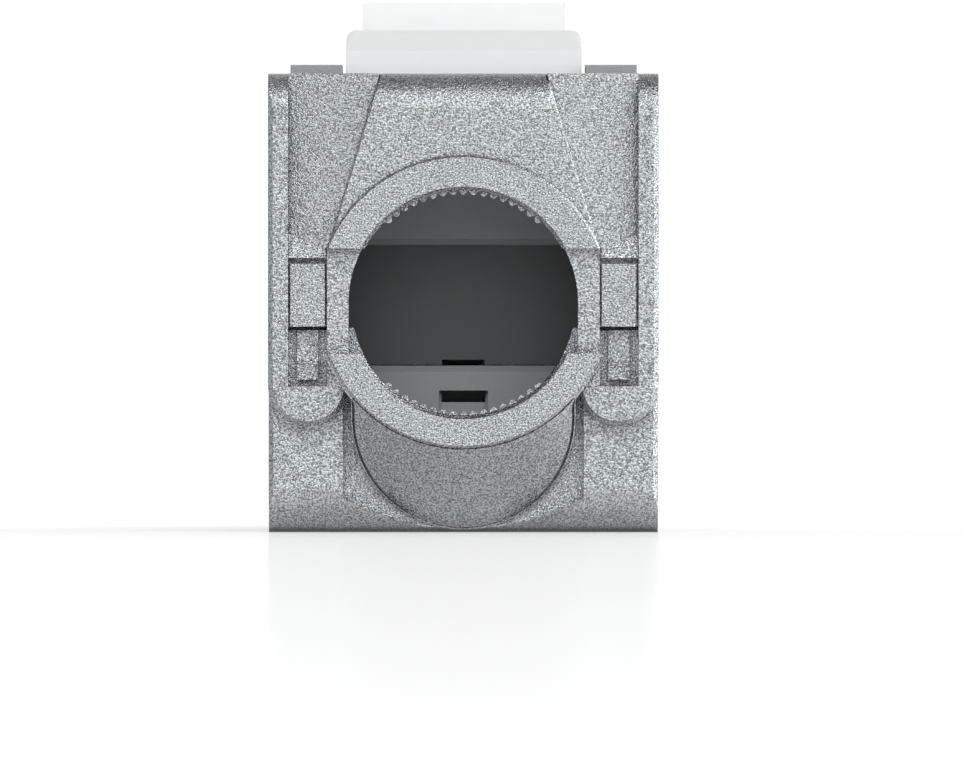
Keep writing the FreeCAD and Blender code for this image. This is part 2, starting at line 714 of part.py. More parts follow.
def latch_shoulder():
    """What the rounding of the thumb tab's upper edge takes away: slight at its rear, full at its front."""
    sections = []
    for y, radius in ((LATCH_REAR_Y, LATCH_SHOULDER_REAR), (PANEL_STOP_Y, LATCH_SHOULDER_FRONT)):
        corner = Vector(LATCH_HALF + SEAT_CLEARANCE, y, latch_over(y) + SEAT_CLEARANCE)
        side = corner - Vector(SEAT_CLEARANCE, 0, radius + SEAT_CLEARANCE)
        top = corner - Vector(radius + SEAT_CLEARANCE, 0, SEAT_CLEARANCE)
        sag = radius * (1 - math.cos(math.pi / 4)) + SEAT_CLEARANCE
        arc = Part.Arc(side, corner - Vector(sag, 0, sag), top).toShape()
        outer_side = side + Vector(SEAT_CLEARANCE, 0, 0)
        outer_top = top + Vector(0, 0, SEAT_CLEARANCE)
        rim = Part.makePolygon([top, outer_top, corner, outer_side, side]).Edges
        sections.append(Part.Wire([arc] + rim))
    return Part.makeLoft(sections, True, True)


def latch_lever():
    """The panel latch: a root bead, a barb that catches the panel and a sloping thumb tab."""
    join = (PANEL_STOP_Y + HOOK_Y) / 2
    join_under = (join, latch_under(join))
    join_over = (join, latch_under(join) + LATCH_THICKNESS)
    barb_profile = [
        (LATCH_ROOT_Y - LATCH_ROOT_RADIUS, LATCH_ROOT_Z),
        (LATCH_ROOT_Y, LATCH_ROOT_Z + LATCH_ROOT_RADIUS),
        (HOOK_Y + BARB_LAND, BARB_TOP),
        (HOOK_Y, BARB_TOP),
        (HOOK_Y, latch_under(HOOK_Y) + LATCH_THICKNESS),
        join_over,
        join_under,
    ]
    barb = side_prism(barb_profile, -LATCH_TIP_HALF, LATCH_TIP_HALF)
    tab_profile = [
        join_under,
        join_over,
        (PANEL_STOP_Y, latch_under(PANEL_STOP_Y) + LATCH_THICKNESS),
        (PANEL_STOP_Y, LATCH_FRONT_Z),
        (LATCH_REAR_Y, LATCH_REAR_Z),
        (LATCH_REAR_Y, latch_under(LATCH_REAR_Y)),
    ]
    tab = side_prism(tab_profile, -LATCH_HALF, LATCH_HALF)
    tab = tab.cut(both(latch_shoulder()))
    core_back = LATCH_REAR_Y + LATCH_THICKNESS
    core_front = PANEL_STOP_Y - LATCH_THICKNESS
    core_profile = [
        (core_back, LATCH_ROOT_Z),
        (core_front, LATCH_ROOT_Z),
        (core_front, latch_over(core_front) - LATCH_THICKNESS),
        (core_back, latch_over(core_back) - LATCH_THICKNESS),
    ]
    core_half = LATCH_HALF - LATCH_THICKNESS
    bead = rod_x(LATCH_ROOT_RADIUS, -LATCH_TIP_HALF, LATCH_TIP_HALF, LATCH_ROOT_Y, LATCH_ROOT_Z)
    return bead.fuse([barb, tab]).cut(side_prism(core_profile, -core_half, core_half))


def contact_x(number):
    """Sideways place of one of the socket's contacts."""
    return (number - (CONTACT_COUNT - 1) / 2) * CONTACT_PITCH


def contact_insert():
    """Moulded insert behind and above the plug, with a slot for each contact."""
    half = SOCKET_HALF - SEAT_CLEARANCE
    top = DECK_TOP - SEAT_CLEARANCE
    deck_foot = DECK_TOP - INSERT_DECK
    wall = wide(half, BOARD_FRONT, BOARD_FRONT + INSERT_WALL, SOCKET_FOOT + SEAT_CLEARANCE, top)
    deck = wide(half, BOARD_FRONT, SOCKET_END - SEAT_CLEARANCE, deck_foot, top)
    slot_top = CONTACT_RUN_Z + CONTACT_WIRE / 2 + SEAT_CLEARANCE
    slot_end = CONTACT_BEND_Y + 2 * CONTACT_BEND_RADIUS
    slots = []
    for number in range(CONTACT_COUNT):
        x = contact_x(number)
        slot_half = INSERT_SLOT / 2
        slots.append(box(x - slot_half, x + slot_half, BOARD_FRONT - PAST, slot_end, deck_foot, slot_top))
    return wall.fuse(deck).cut(slots)


def contact(x):
    """One spring wire: a tail through the board, a run in the insert and a slope back to its tip."""
    turn = math.pi - math.radians(CONTACT_SLOPE_DEG)
    centre_z = CONTACT_RUN_Z - CONTACT_BEND_RADIUS

    def on_bend(angle):
        y = CONTACT_BEND_Y + CONTACT_BEND_RADIUS * math.sin(angle)
        return Vector(x, y, centre_z + CONTACT_BEND_RADIUS * math.cos(angle))

    start = Vector(x, BOARD_BACK - CONTACT_TAIL, CONTACT_RUN_Z)
    bend_end = on_bend(turn)
    run = bend_end.y - BOARD_FRONT - INSERT_WALL - CONTACT_TIP_GAP
    tip = bend_end - Vector(0, run, run * math.tan(math.radians(CONTACT_SLOPE_DEG)))
    path = Part.Wire(
        [
            Part.makeLine(start, on_bend(0)),
            Part.Arc(on_bend(0), on_bend(turn / 2), bend_end).toShape(),
            Part.makeLine(bend_end, tip),
        ]
    )
    half = CONTACT_WIRE / 2
    corners = [(-half, -half), (half, -half), (half, half), (-half, half), (-half, -half)]
    section = Part.makePolygon([start + Vector(dx, 0, dz) for dx, dz in corners])
    return path.makePipeShell([section], True, True)


# Places of the wire terminals in the upper row: alternate forks stand further forward
FORK_PLACES = []
for row_number in range(FORKS_PER_ROW):
    fork_x = (row_number - (FORKS_PER_ROW - 1) / 2) * FORK_PITCH
    FORK_PLACES.append((fork_x, FORK_Y + FORK_STAGGER * (row_number % 2)))


def fork_plate(x, y, clearance):
    """Upright part of a wire terminal, grown by a clearance where it makes a pocket."""
    half = FORK_WIDTH / 2 + clearance
    sheet = FORK_SHEET / 2 + clearance
    return box(x - half, x + half, y - sheet, y + sheet, TAIL_Z - sheet, MIDDLE + FORK_REACH)


def fork_tail(x, y, end, top, clearance):
    """Strip from a wire terminal to the board, grown by a clearance where it makes a trench."""
    half = TAIL_WIDTH / 2 + clearance
    return box(x - half, x + half, y, end, TAIL_Z - FORK_SHEET / 2 - clearance, top)


def fork(x, y):
    """One bent terminal of the upper row, slotted to cut through a wire's sleeve."""
    tip_z = MIDDLE + FORK_REACH
    slot_half = FORK_SLOT / 2
    outline = [
        (x - slot_half, MIDDLE + FORK_SLOT_FOOT),
        (x + slot_half, MIDDLE + FORK_SLOT_FOOT),
        (x + slot_half, tip_z - FORK_LEAD_IN),
        (x + FORK_LEAD_IN, tip_z + SEAT_CLEARANCE),
        (x - FORK_LEAD_IN, tip_z + SEAT_CLEARANCE),
        (x - slot_half, tip_z - FORK_LEAD_IN),
    ]
    plate = fork_plate(x, y, 0).cut(rear_prism(outline, y - FORK_SHEET, y + FORK_SHEET))
    return plate.fuse(fork_tail(x, y, BOARD_FRONT - SEAT_CLEARANCE, TAIL_Z + FORK_SHEET / 2, 0))


def circuit_board():
    board = wide(BOARD_HALF, BOARD_BACK, BOARD_FRONT, BOARD_FOOT, BOARD_TOP)
    holes = []
    contact_hole = math.hypot(CONTACT_WIRE, CONTACT_WIRE) / 2 + SEAT_CLEARANCE
    for number in range(CONTACT_COUNT):
        x = contact_x(number)
        holes.append(rod_y(contact_hole, BOARD_BACK - PAST, BOARD_FRONT + PAST, x, CONTACT_RUN_Z))
    tail_hole = math.hypot(TAIL_WIDTH, FORK_SHEET) / 2 + SEAT_CLEARANCE
    for x, y in FORK_PLACES:
        hole = rod_y(tail_hole, BOARD_BACK - PAST, BOARD_FRONT + PAST, x, TAIL_Z)
        holes.extend([hole, upside_down(hole)])
    return board.cut(holes)


def idc_block():
    """Block between the jaws that carries both rows of terminals and guides the wires to them."""
    block = wide(BOARD_HALF, BLOCK_REAR, BOARD_BACK, MIDDLE - BLOCK_HALF_HEIGHT, BLOCK_TOP)
    cuts = []
    for x, y in FORK_PLACES:
        pocket = fork_plate(x, y, SEAT_CLEARANCE)
        trench = fork_tail(x, y, BOARD_BACK + PAST, BLOCK_TOP + PAST, SEAT_CLEARANCE)
        groove = rod_y(WIRE_RADIUS, BLOCK_REAR + BLOCK_LIP, y + WIRE_RUN, x, BLOCK_TOP)
        room = pocket.fuse([trench, groove])
        cuts.extend([room, upside_down(room)])
    notch = wide(
        BLOCK_NOTCH_HALF,
        BLOCK_REAR - PAST,
        BLOCK_REAR + BLOCK_NOTCH_DEPTH,
        0,
        MIDDLE - BLOCK_HALF_HEIGHT + BLOCK_NOTCH_HEIGHT,
    )
    return block.cut(cuts + [notch])


def presser(lip):
    """Presser of the upper jaw: it pushes wires into the forks, and its rear lip hangs behind the block."""
    foot = MIDDLE + PRESSER_GAP
    profile = [
        (PRESSER_FRONT, foot),
        (PRESSER_FRONT, JAW_HEIGHT - JAW_ROOF),
        (PRESSER_REAR, JAW_HEIGHT - JAW_ROOF),
        (PRESSER_REAR, foot - lip + PRESSER_BEVEL),
        (PRESSER_REAR + PRESSER_BEVEL, foot - lip),
    ]
    if lip:
        lip_front = BLOCK_REAR - SLIDE_CLEARANCE
        profile.extend([(lip_front, foot - lip), (lip_front, foot)])
    block_half = INSIDE_HALF - SEAT_CLEARANCE
    block = side_prism(profile, -block_half, block_half)
    half = FORK_WIDTH / 2 + PRESSER_SLOT_ROOM
    top = MIDDLE + FORK_REACH + PRESSER_SLOT_ROOM
    slots = []
    for x, y in FORK_PLACES:
        slots.append(box(x - half, x + half, y - FORK_SHEET, y + PRESSER_SLOT_RUN, foot - PAST, top))
    return block.cut(slots)


def lower_presser():
    top = MIDDLE - PRESSER_HOLE_DROP
    mouth_end = PRESSER_REAR + PRESSER_HOLE_DEPTH
    shaft_end = PRESSER_REAR + PRESSER_SHAFT_DEPTH
    shaft_half = PRESSER_HOLE_HALF - PRESSER_SHAFT_INSET
    mouth = wide(PRESSER_HOLE_HALF, PRESSER_REAR - PAST, mouth_end, top - PRESSER_HOLE_HEIGHT, top)
    shaft = wide(shaft_half, PRESSER_REAR, shaft_end, top - PRESSER_SHAFT_HEIGHT, top)
    return upside_down(presser(0)).cut([mouth, shaft])


os.makedirs("parts", exist_ok=True)
save("upper_jaw", upper_jaw())
save("lower_jaw", lower_jaw())
save("upper_presser", presser(PRESSER_LIP))
save("lower_presser", lower_presser())
save("front_housing", front_housing())
save("shield_spring_right", shield_spring())
save("shield_spring_left", mirror_x(shield_spring()))
save("latch_lever", latch_lever())
save("contact_insert", contact_insert())
for contact_number in range(CONTACT_COUNT):
    save("contact_%d" % (contact_number + 1), contact(contact_x(contact_number)))
save("circuit_board", circuit_board())
save("idc_block", idc_block())
for fork_number, (fork_x, fork_y) in enumerate(FORK_PLACES):
    terminal = fork(fork_x, fork_y)
    save("idc_%d" % (fork_number + 1), terminal)
    save("idc_%d" % (fork_number + 1 + FORKS_PER_ROW), upside_down(terminal))
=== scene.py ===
"""Looks of a shielded keystone jack: blasted zinc, moulded plastics, plated contacts, and a studio."""
import bmesh
import bpy
import math
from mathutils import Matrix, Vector


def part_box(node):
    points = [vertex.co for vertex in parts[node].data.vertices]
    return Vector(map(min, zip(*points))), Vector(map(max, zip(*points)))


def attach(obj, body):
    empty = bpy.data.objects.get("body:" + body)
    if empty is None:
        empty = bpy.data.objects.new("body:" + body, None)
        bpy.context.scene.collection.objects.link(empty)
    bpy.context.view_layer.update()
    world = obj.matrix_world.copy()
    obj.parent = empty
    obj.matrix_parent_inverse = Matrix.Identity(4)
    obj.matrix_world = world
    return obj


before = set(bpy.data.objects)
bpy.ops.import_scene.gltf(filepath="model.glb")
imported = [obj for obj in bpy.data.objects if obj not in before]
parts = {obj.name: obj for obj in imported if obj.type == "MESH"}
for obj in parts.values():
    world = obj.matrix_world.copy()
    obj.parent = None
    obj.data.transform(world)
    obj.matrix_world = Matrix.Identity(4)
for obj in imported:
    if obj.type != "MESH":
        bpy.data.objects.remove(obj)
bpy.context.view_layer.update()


# Front housing: one zinc die casting that snaps into the panel, with the plug socket in its nose.
# It is tumbled after casting, which leaves the flats smooth and the edges slightly rounded.
mm = 0.001


def linear(hex_colour):
    """An sRGB hex colour as linear red, green, blue and alpha."""
    channels = []
    for start in (1, 3, 5):
        value = int(hex_colour[start:start + 2], 16) / 255
        channels.append(value / 12.92 if value <= 0.04045 else ((value + 0.055) / 1.055) ** 2.4)
    return (*channels, 1.0)


def node(tree, kind, values=None, links=None, **settings):
    """Adds a node with its settings, the values of its sockets and the links into them."""
    made = tree.nodes.new(kind)
    for name, value in settings.items():
        setattr(made, name, value)
    for name, value in (values or {}).items():
        made.inputs[name].default_value = value
    for name, source in (links or {}).items():
        tree.links.new(source, made.inputs[name])
    return made


def new_material(name):
    """An empty node material and its tree."""
    made = bpy.data.materials.new(name)
    made.use_nodes = True
    made.node_tree.nodes.clear()
    return made, made.node_tree


def dress(names, finish):
    """Gives the named parts one finish."""
    for name in names:
        slots = parts[name].data.materials
        slots.clear()
        slots.append(finish)


# Tumbled zinc: a satin grey metal with a faint cloudy flow pattern from the die.
flow_size = 1.2 * mm
polish_grain = 0.09 * mm
polish_depth = 0.006 * mm
edge_round = 0.08 * mm
tumbled_zinc, tree = new_material("tumbled_zinc")
place = node(tree, "ShaderNodeTexCoord").outputs["Object"]
flow = node(tree, "ShaderNodeTexNoise", {"Scale": 1 / flow_size, "Detail": 4.0}, {"Vector": place})
grey = node(tree, "ShaderNodeMixRGB", {"Color1": linear("#8F9192"), "Color2": linear("#9C9E9E")},
            {"Fac": flow.outputs["Fac"]})
grain = node(tree, "ShaderNodeTexNoise", {"Scale": 1 / polish_grain, "Detail": 2.0}, {"Vector": place})
edges = node(tree, "ShaderNodeBevel", {"Radius": edge_round}, samples=4)
relief = node(tree, "ShaderNodeBump", {"Strength": 0.25, "Distance": polish_depth},
              {"Height": grain.outputs["Fac"], "Normal": edges.outputs["Normal"]})
metal = node(tree, "ShaderNodeBsdfPrincipled", {"Metallic": 1.0, "Roughness": 0.42},
             {"Base Color": grey.outputs["Color"], "Normal": relief.outputs["Normal"]})
node(tree, "ShaderNodeOutputMaterial", links={"Surface": metal.outputs["BSDF"]})
dress(["front_housing"], tumbled_zinc)


# Plug contacts: eight spring wires of plated bronze in a moulded insert inside the plug socket.
# The insert is glass-filled PBT and holds the wires apart, each in a slot of its own.
def moulded_plastic(name, dark, light, grain, depth, strength, roughness, ior):
    """A plastic whose moulded skin has a fine grain, in its colour and in its relief."""
    made, tree = new_material(name)
    place = node(tree, "ShaderNodeTexCoord").outputs["Object"]
    skin = node(tree, "ShaderNodeTexNoise", {"Scale": 1 / grain, "Detail": 3.0}, {"Vector": place})
    colour = node(tree, "ShaderNodeMixRGB", {"Color1": linear(dark), "Color2": linear(light)},
                  {"Fac": skin.outputs["Fac"]})
    relief = node(tree, "ShaderNodeBump", {"Strength": strength, "Distance": depth},
                  {"Height": skin.outputs["Fac"]})
    plastic = node(tree, "ShaderNodeBsdfPrincipled", {"Roughness": roughness, "IOR": ior},
                   {"Base Color": colour.outputs["Color"], "Normal": relief.outputs["Normal"]})
    node(tree, "ShaderNodeOutputMaterial", links={"Surface": plastic.outputs["BSDF"]})
    return made


def lined_metal(name, dark, light, line, stretch, detail, polished, dull):
    """A metal with fine lines along it, from drawing or rolling, in its colour and in its gloss."""
    made, tree = new_material(name)
    place = node(tree, "ShaderNodeTexCoord").outputs["Object"]
    along = node(tree, "ShaderNodeMapping", {"Scale": stretch}, {"Vector": place})
    lines = node(tree, "ShaderNodeTexNoise", {"Scale": 1 / line, "Detail": detail},
                 {"Vector": along.outputs["Vector"]})
    colour = node(tree, "ShaderNodeMixRGB", {"Color1": linear(dark), "Color2": linear(light)},
                  {"Fac": lines.outputs["Fac"]})
    gloss = node(tree, "ShaderNodeMapRange", {"To Min": polished, "To Max": dull},
                 {"Value": lines.outputs["Fac"]})
    metal = node(tree, "ShaderNodeBsdfPrincipled", {"Metallic": 1.0},
                 {"Base Color": colour.outputs["Color"], "Roughness": gloss.outputs["Result"]})
    node(tree, "ShaderNodeOutputMaterial", links={"Surface": metal.outputs["BSDF"]})
    return made


# Black PBT: nearly black, with a dull and slightly grained skin.
moulding_grain = 0.12 * mm
moulding_depth = 0.01 * mm
black_pbt = moulded_plastic("black_pbt", dark="#17181A", light="#26282A", grain=moulding_grain,
                            depth=moulding_depth, strength=0.4, roughness=0.5, ior=1.55)
dress(["contact_insert"], black_pbt)

# Gold plate over nickel: a warm bright metal whose gloss follows the lines of the drawn wire.
# The lines are coarser than real ones, so that they show.
draw_line = 0.12 * mm
gold_plate = lined_metal("gold_plate", dark="#EBC068", light="#F6D58A", line=draw_line,
                         stretch=(1.0, 0.08, 0.08), detail=2.0, polished=0.34, dull=0.50)
dress([f"contact_{number}" for number in range(1, 9)], gold_plate)


# Circuit board: glass-epoxy laminate that carries the contacts and the cutting forks.
# Solder mask makes it a glossy green over the faint weave of the glass cloth.
glass_thread = 0.25 * mm
weave_scale = math.pi / (20 * glass_thread)  # One wave of the pattern spans two threads.
weave_depth = 0.01 * mm
green_laminate, tree = new_material("green_laminate")
place = node(tree, "ShaderNodeTexCoord").outputs["Object"]
warp = node(tree, "ShaderNodeTexWave", {"Scale": weave_scale, "Distortion": 0.5}, {"Vector": place},
            bands_direction="X")
weft = node(tree, "ShaderNodeTexWave", {"Scale": weave_scale, "Distortion": 0.5}, {"Vector": place},
            bands_direction="Z")
weave = node(tree, "ShaderNodeMath", links={0: warp.outputs["Fac"], 1: weft.outputs["Fac"]},
             operation="MULTIPLY")
green = node(tree, "ShaderNodeMixRGB", {"Color1": linear("#17482C"), "Color2": linear("#24653F")},
             {"Fac": weave.outputs["Value"]})
relief = node(tree, "ShaderNodeBump", {"Strength": 0.3, "Distance": weave_depth},
              {"Height": weave.outputs["Value"]})
mask = node(tree, "ShaderNodeBsdfPrincipled", {"Roughness": 0.32, "IOR": 1.5},
            {"Base Color": green.outputs["Color"], "Normal": relief.outputs["Normal"]})
node(tree, "ShaderNodeOutputMaterial", links={"Surface": mask.outputs["BSDF"]})
dress(["circuit_board"], green_laminate)


# Connecting block: a dark polycarbonate moulding whose slots hold the eight cutting forks.
# The forks are stamped from tinned bronze strip, four pointing up and four pointing down.

# Dark polycarbonate: its mould is finely eroded, so it has a soft sheen and no clear reflections.
erosion_grain = 0.10 * mm
erosion_depth = 0.008 * mm
dark_polycarbonate = moulded_plastic("dark_polycarbonate", dark="#3A3C3E", light="#444749",
                                     grain=erosion_grain, depth=erosion_depth, strength=0.4,
                                     roughness=0.5, ior=1.58)
dress(["idc_block"], dark_polycarbonate)

# Tinned bronze: a pale matt metal, rolled, with lines along the strip, coarse enough to show.
roll_line = 0.06 * mm
tinned_bronze = lined_metal("tinned_bronze", dark="#BDBDB9", light="#D2D1CB", line=roll_line,
                            stretch=(1.0, 1.0, 0.1), detail=2.0, polished=0.25, dull=0.45)
dress([f"idc_{number}" for number in range(1, 9)], tinned_bronze)


# Shield springs: two strips of stainless spring steel, pressed into the sides of the socket.
# The strip is cold rolled, so it is brighter than the castings and has fine lines along it.
spring_steel = lined_metal("spring_steel", dark="#B7B8B7", light="#D0D0CE", line=roll_line,
                           stretch=(1.0, 0.06, 1.0), detail=3.0, polished=0.30, dull=0.46)
dress(["shield_spring_right", "shield_spring_left"], spring_steel)


# Jaws: two zinc die castings that close round the cable and hook into each other at the sides.
# They turn on bosses of the housing, and are blasted with beads after casting.

# Bead-blasted zinc: flats that sparkle with short, worm-like dents; the hollow of each dent is darkened with
# painted shade.
# Inner corners and creases are darkened with painted shade, as far as each point is occluded close by.
bead_dent = 0.07 * mm
dent_depth = 0.042 * mm
cloud_size = 2.5 * mm
soft_edge = 0.025 * mm
hollow_floor = 0.38
hollow_rim = 0.60
hollow_shade = 0.85
crevice_reach = 0.28 * mm
crevice_shut = 0.20
crevice_open = 0.72
crevice_shade = 0.70
blasted_zinc, tree = new_material("bead_blasted_zinc")
place = node(tree, "ShaderNodeTexCoord").outputs["Object"]
cloud = node(tree, "ShaderNodeTexNoise", {"Scale": 1 / cloud_size, "Detail": 3.0}, {"Vector": place})
dents = node(tree, "ShaderNodeTexNoise", {"Scale": 1 / bead_dent, "Detail": 1.0, "Distortion": 0.4},
             {"Vector": place})
zinc = node(tree, "ShaderNodeMixRGB", {"Color1": linear("#AFB3B6"), "Color2": linear("#BBBFC2")},
            {"Fac": cloud.outputs["Fac"]})
# Painted shade: the colour of each dent's hollow is mixed towards dark grey, following the bump noise.
painted_hollow_shade = node(tree, "ShaderNodeMapRange",
               {"From Min": hollow_floor, "From Max": hollow_rim, "To Min": hollow_shade, "To Max": 0.0},
               {"Value": dents.outputs["Fac"]})
dent_shaded_colour = node(tree, "ShaderNodeMixRGB", {"Color2": linear("#585C5E")},
              {"Fac": painted_hollow_shade.outputs["Result"], "Color1": zinc.outputs["Color"]})
# Painted shade: occluded corners and creases are mixed towards dark grey.
crevices = node(tree, "ShaderNodeAmbientOcclusion", {"Distance": crevice_reach}, samples=6)
painted_crevice_shade = node(tree, "ShaderNodeMapRange",
              {"From Min": crevice_shut, "From Max": crevice_open, "To Min": crevice_shade, "To Max": 0.0},
              {"Value": crevices.outputs["AO"]})
finish = node(tree, "ShaderNodeMixRGB", {"Color2": linear("#3C4042")},
              {"Fac": painted_crevice_shade.outputs["Result"], "Color1": dent_shaded_colour.outputs["Color"]})
edges = node(tree, "ShaderNodeBevel", {"Radius": soft_edge}, samples=4)
relief = node(tree, "ShaderNodeBump", {"Strength": 1.0, "Distance": dent_depth},
              {"Height": dents.outputs["Fac"], "Normal": edges.outputs["Normal"]})
metal = node(tree, "ShaderNodeBsdfPrincipled", {"Metallic": 1.0, "Roughness": 0.24},
             {"Base Color": finish.outputs["Color"], "Normal": relief.outputs["Normal"]})
node(tree, "ShaderNodeOutputMaterial", links={"Surface": metal.outputs["BSDF"]})
dress(["upper_jaw", "lower_jaw"], blasted_zinc)


# Throat: a cone below the cable's collar, cast in one with the lower jaw, where the cable bends down.
# Its outline is a circle with straight sides above. It stands over the recess as a wall, and a
# fine groove that narrows towards the foot runs along its edge.
def cast_feature(name, rings, body):
    """A closed mesh through rings of points, cast in one with a jaw: in its finish, moving with it."""
    shape = bmesh.new()
    loops = [[shape.verts.new(corner) for corner in ring] for ring in rings]
    shape.faces.new(loops[0])
    shape.faces.new(loops[-1])
    for near, far in zip(loops, loops[1:]):
        for index in range(len(near)):
            after = (index + 1) % len(near)
            shape.faces.new([near[index], near[after], far[after], far[index]])
    bmesh.ops.recalc_face_normals(shape, faces=shape.faces)
    mesh = bpy.data.meshes.new(name)
    shape.to_mesh(mesh)
    shape.free()
    mesh.shade_smooth()
    mesh.set_sharp_from_angle(angle=crease_angle)
    mesh.materials.append(blasted_zinc)
    piece = bpy.data.objects.new(name, mesh)
    bpy.context.scene.collection.objects.link(piece)
    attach(piece, body)


def cone_depth(radius):
    """How far the cone lies in from the cable end, at a radius from the collar's middle."""
    return throat_lead + throat_slope * (radius - collar_rim)


crease_angle = math.radians(30)
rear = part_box("lower_jaw")[0][1]
collar_middle = 9.725 * mm
collar_rim = 6.2 * mm
throat_lead = 0.10 * mm
throat_floor = 3.02 * mm
throat_slope = 0.845
throat_radius = 4.75 * mm
throat_middle = 4.85 * mm
throat_drop = collar_middle - throat_middle
throat_spread = math.radians(49.5)
side_spread = math.atan2(throat_radius, throat_drop)
groove_width = 0.17 * mm
groove_depth = 0.13 * mm
groove_foot = 0.4
groove_share = 0.6
lip_width = 0.06 * mm
lip_share = 0.2
fan_steps = 72
cone_steps = 6
rings = []
for step in range(fan_steps + 1):
    angle = throat_spread * (2 * step / fan_steps - 1)
    if abs(angle) < side_spread:
        across = throat_drop * math.sin(angle)
        reach = throat_drop * math.cos(angle) + math.sqrt(throat_radius ** 2 - across ** 2)
    else:
        reach = throat_radius / math.sin(abs(angle))
    room = reach - collar_rim
    width = groove_width * (groove_foot + (1 - groove_foot) * abs(angle) / throat_spread)
    groove = min(width, groove_share * room)
    lip = min(lip_width, lip_share * room)
    cone_end = reach - lip - groove
    valley = cone_end + groove / 2
    profile = []
    for part in range(cone_steps + 1):
        radius = collar_rim + (cone_end - collar_rim) * part / cone_steps
        profile.append((radius, cone_depth(radius)))
    profile.append((valley, cone_depth(valley) + groove_depth * groove / groove_width))
    profile.append((reach - lip, cone_depth(reach - lip)))
    profile.append((reach, cone_depth(reach)))
    profile.append((reach, throat_floor))
    profile.append((collar_rim, throat_floor))
    ring = []
    for radius, depth in profile:
        ring.append((radius * math.sin(angle), rear + depth, collar_middle - radius * math.cos(angle)))
    rings.append(ring)
cast_feature("throat", rings, "lower_jaw")


# Panel feet: a gentle ramp at the foot of each sloping panel, beside the collar.
# They are cast in one with the upper jaw, in the same blasted zinc.
def cast_pair(name, inner, outer, outline):
    """A short bar of one outline on each side of the upper jaw, from its inner to its outer end."""
    for side, hand in ((-1, "left"), (1, "right")):
        rings = []
        for across in (side * inner, side * outer):
            rings.append([(across, rear + depth, level) for depth, level in outline])
        cast_feature(f"{name}_{hand}", rings, "upper_jaw")


foot_inner = 5.79 * mm
foot_outer = 7.41 * mm
foot_level = 11.63 * mm
foot_height = 1.1 * mm
foot_top = foot_level + foot_height
foot_face = 1.19 * mm
foot_back = 1.62 * mm
foot_outline = [(foot_face, foot_level), (foot_back, foot_top), (foot_back, foot_level)]
cast_pair("panel_foot", foot_inner, foot_outer, foot_outline)


# Lug ribs: a thin rib behind each lug that closes the gap at the parting line of the jaws.
# They are cast in one with the upper jaw, in the same blasted zinc.
rib_inner = 7.22 * mm
rib_outer = 7.45 * mm
rib_foot = 9.60 * mm
rib_top = 9.80 * mm
rib_face = 1.80 * mm
rib_back = 1.95 * mm
rib_outline = [(rib_face, rib_foot), (rib_face, rib_top), (rib_back, rib_top), (rib_back, rib_foot)]
cast_pair("lug_rib", rib_inner, rib_outer, rib_outline)


# Pressers: two grey mouldings inside the jaws that push the wires down into the forks.
# They are glass-filled nylon, matt, with a light cast where the glass lies near the skin.
grey_nylon = moulded_plastic("grey_nylon", dark="#93979A", light="#A0A4A6", grain=moulding_grain,
                             depth=moulding_depth, strength=0.4, roughness=0.55, ior=1.53)
dress(["upper_presser", "lower_presser"], grey_nylon)


# Panel latch: a white acetal lever on top, which bends down at its root to let the panel go.
# Acetal is dense and slightly waxy, with a smooth moulded skin that waves very gently.
skin_wave = 0.8 * mm
skin_depth = 0.01 * mm
white_acetal = moulded_plastic("white_acetal", dark="#EDEEEF", light="#F3F4F4", grain=skin_wave,
                               depth=skin_depth, strength=0.2, roughness=0.38, ior=1.48)
dress(["latch_lever"], white_acetal)


# Floor: a pale satin sheet under the jack, which ends a short way beyond the plug socket.
# Seen along its surface it mirrors the white wall. Its glow is painted stronger from beside the jack to
# beyond it, which washes out the jack's shadow there so that the floor runs into that wall; in front the
# shadow stays.
floor_side = 0.9
floor_near = -0.95
floor_far = 0.16
glow_ramp_start = -8 * mm
glow_ramp_end = 22 * mm
near_glow = 0.22
far_glow = 0.40
sheen_share = 0.24
floor_mesh = bpy.data.meshes.new("floor")
floor_corners = [(-floor_side, floor_near, 0), (floor_side, floor_near, 0),
                 (floor_side, floor_far, 0), (-floor_side, floor_far, 0)]
floor_mesh.from_pydata(floor_corners, [], [(0, 1, 2, 3)])
floor = bpy.data.objects.new("floor", floor_mesh)
bpy.context.scene.collection.objects.link(floor)

# Satin sheet: chalky white under a thin sheen. Its glow shows to the eye and in reflections only,
# and doesn't light the jack.
satin_sheet, tree = new_material("pale_satin_sheet")
place = node(tree, "ShaderNodeTexCoord").outputs["Object"]
spot = node(tree, "ShaderNodeSeparateXYZ", links={"Vector": place})
# Painted light: the glow grows from near_glow to far_glow across the jack, over the shadow cast behind it.
glow_ramp = node(tree, "ShaderNodeMapRange",
             {"From Min": glow_ramp_start, "From Max": glow_ramp_end, "To Min": near_glow, "To Max": far_glow},
             {"Value": spot.outputs["Y"]})
path = node(tree, "ShaderNodeLightPath")
seen = node(tree, "ShaderNodeMath",
            links={0: path.outputs["Is Camera Ray"], 1: path.outputs["Is Glossy Ray"]},
            operation="ADD")
shown = node(tree, "ShaderNodeMath",
             links={0: seen.outputs["Value"], 1: path.outputs["Is Transmission Ray"]},
             operation="ADD")
lift = node(tree, "ShaderNodeMapRange",
            links={"Value": shown.outputs["Value"], "To Max": glow_ramp.outputs["Result"]})
chalk = node(tree, "ShaderNodeBsdfDiffuse", {"Color": linear("#F6F6F6")})
sheen = node(tree, "ShaderNodeBsdfGlossy", {"Color": linear("#FFFFFF"), "Roughness": 0.13})
glow = node(tree, "ShaderNodeEmission", {"Color": linear("#FFFFFF")}, {"Strength": lift.outputs["Result"]})
sheet = node(tree, "ShaderNodeMixShader", {"Fac": sheen_share},
             {1: chalk.outputs["BSDF"], 2: sheen.outputs["BSDF"]})
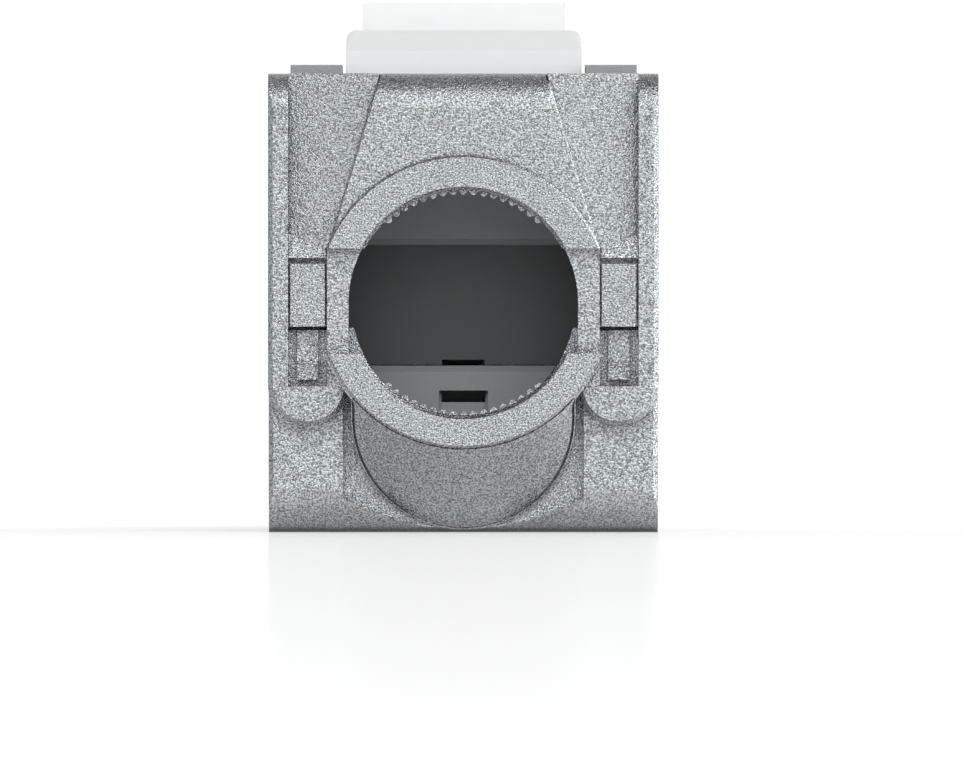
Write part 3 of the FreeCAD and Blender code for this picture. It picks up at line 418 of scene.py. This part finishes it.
surface = node(tree, "ShaderNodeAddShader", links={0: sheet.outputs["Shader"], 1: glow.outputs["Emission"]})
node(tree, "ShaderNodeOutputMaterial", links={"Surface": surface.outputs["Shader"]})
floor_mesh.materials.append(satin_sheet)


# Studio: a grey room with a low white wall beyond the jack, which fades out upwards and sideways.
# A large lamp stands in front and above, and a smaller one at each side. The card on the right is
# seen only in reflections, as bright lines along the right-hand edges of the castings.
room_grey = 0.31
wall_grey = 0.55
wall_white = 1.03
wall_top_start = 0.45
wall_top_end = 0.70
wall_side_end = 0.15
wall_side_start = 0.50
world = bpy.data.worlds.new("grey_room")
world.use_nodes = True
tree = world.node_tree
tree.nodes.clear()
ray = node(tree, "ShaderNodeTexCoord")
way = node(tree, "ShaderNodeSeparateXYZ", links={"Vector": ray.outputs["Generated"]})
wall = node(tree, "ShaderNodeMapRange",
            {"From Min": wall_top_start, "From Max": wall_top_end, "To Min": wall_white, "To Max": wall_grey},
            {"Value": way.outputs["Z"]})
level = node(tree, "ShaderNodeMapRange",
             {"From Min": wall_side_end, "From Max": wall_side_start, "To Min": room_grey},
             {"Value": way.outputs["Y"], "To Max": wall.outputs["Result"]})
room = node(tree, "ShaderNodeBackground", {"Color": linear("#FFFFFF")}, {"Strength": level.outputs["Result"]})
node(tree, "ShaderNodeOutputWorld", links={"Surface": room.outputs["Background"]})
bpy.context.scene.world = world


def softbox(name, place, width, height, radiance):
    """A flat lamp that points at the jack and is as bright as the radiance says."""
    lamp = bpy.data.lights.new(name, "AREA")
    lamp.shape = "RECTANGLE"
    lamp.size = width
    lamp.size_y = height
    lamp.energy = radiance * math.pi * width * height
    stand = bpy.data.objects.new(name, lamp)
    stand.location = place
    stand.rotation_euler = (middle - Vector(place)).to_track_quat("-Z", "Y").to_euler()
    bpy.context.scene.collection.objects.link(stand)
    return stand


middle = Vector((0, 0, 10 * mm))
softbox("front_lamp", place=(0.2, -2.6, 1.6), width=3.2, height=2.4, radiance=2.6)
softbox("right_lamp", place=(2.5, -1.7, 0.8), width=1.8, height=2.0, radiance=1.5)
softbox("left_lamp", place=(-2.5, -1.7, 0.8), width=1.8, height=2.0, radiance=1.1)
edge_card = softbox("edge_card", place=(2.6, 0.2, 1.5), width=2.6, height=2.8, radiance=4.2)
edge_card.visible_diffuse = False


# Camera: a long lens a metre from the cable end, almost level with the jack and square to it.
# It stands slightly to the right of the jack's middle and looks down a little.
camera_side = 0.77 * mm
camera_back = 1017.5 * mm
camera_height = 9.7 * mm
aim_back = 17.5 * mm
aim_height = 6.34 * mm
camera_data = bpy.data.cameras.new("camera")
camera_data.sensor_width = 36.0
camera_data.lens = 884.0
camera = bpy.data.objects.new("camera", camera_data)
camera.location = (camera_side, -camera_back, camera_height)
aim = Vector((camera_side, -aim_back, aim_height))
camera.rotation_euler = (aim - camera.location).to_track_quat("-Z", "Y").to_euler()
bpy.context.scene.collection.objects.link(camera)
bpy.context.scene.camera = camera
bpy.context.scene.view_settings.view_transform = "Standard"
